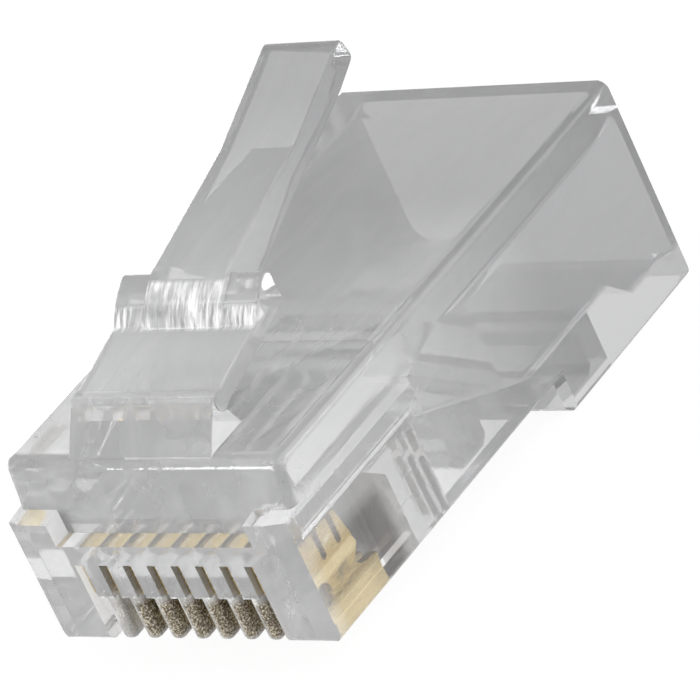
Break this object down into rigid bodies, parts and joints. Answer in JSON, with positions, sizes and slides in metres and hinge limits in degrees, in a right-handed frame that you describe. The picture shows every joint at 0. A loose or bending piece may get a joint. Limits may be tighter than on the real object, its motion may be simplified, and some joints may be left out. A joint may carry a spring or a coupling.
{
  "type": "rj45 modular plug",
  "caption": "Clear crimp-on modular plug with a sprung latch, a row of gold blade contacts, wire channels and a cable mouth.",
  "frame": {"origin": "middle of the plug's width and length, at the level of the underside of its rear foot", "axes": "+X across the plug, +Y from the nose to the cable end, +Z from the contact side to the latch side"},
  "size_m": [0.0116, 0.022, 0.014],
  "materials": {
    "clear_plastic": "clear moulded polycarbonate, polished",
    "gold_contact": "gold flash over phosphor bronze, stamped edges"
  },
  "bodies": {
    "plug": {"housing": "clear_plastic", "contact_1": "gold_contact", "contact_2": "gold_contact", "contact_3": "gold_contact", "contact_4": "gold_contact", "contact_5": "gold_contact", "contact_6": "gold_contact", "contact_7": "gold_contact", "contact_8": "gold_contact"},
    "latch": {"latch": "clear_plastic"}
  },
  "joints": [
    {"name": "latch_press", "type": "hinge", "parent": "plug", "child": "latch", "pos_m": [0, -0.00832, 0.00903], "axis": [-1, 0, 0], "range_deg": [0, 18], "stiffness_Nm_per_rad": 0.05}
  ]
}
